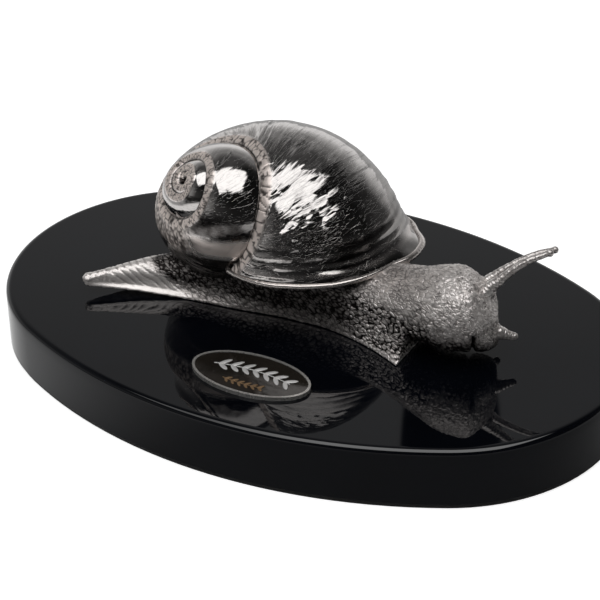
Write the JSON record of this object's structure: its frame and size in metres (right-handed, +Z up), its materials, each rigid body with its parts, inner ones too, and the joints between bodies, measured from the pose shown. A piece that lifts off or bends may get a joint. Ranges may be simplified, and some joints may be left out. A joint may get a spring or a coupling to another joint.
{
  "type": "snail figurine",
  "caption": "Cast metal snail with a spiral shell, crawling along a thick glossy black oval plinth with an oval badge",
  "frame": {"origin": "centre of the plinth's underside, on the table", "axes": "+X along the plinth's long axis, the way the snail heads; +Z up"},
  "size_m": [0.2, 0.1306, 0.0712],
  "materials": {
    "lacquer": "black lacquer, mirror gloss",
    "felt": "black felt",
    "body_silver": "darkened silver, polished high spots",
    "shell_silver": "darkened silver, mirror polish",
    "badge_silver": "polished rim",
    "enamel": "dark enamel",
    "fastener_brass": "turned",
    "fastener_steel": "zinc plated"
  },
  "bodies": {
    "root": {"plinth_board": "lacquer", "felt_pad": "felt", "body_casting": "body_silver", "shell_casting": "shell_silver", "upper_tentacle_left": "body_silver", "upper_tentacle_right": "body_silver", "lower_tentacle_left": "body_silver", "lower_tentacle_right": "body_silver", "badge_plate": "badge_silver", "badge_field": "enamel", "badge_sprig": "badge_silver", "badge_pins": "fastener_brass", "foot_inserts": "fastener_brass", "shell_insert": "fastener_brass", "foot_screws": "fastener_steel", "shell_screw": "fastener_steel", "screw_washers": "fastener_steel", "shell_dowel": "fastener_steel"}
  },
  "joints": []
}
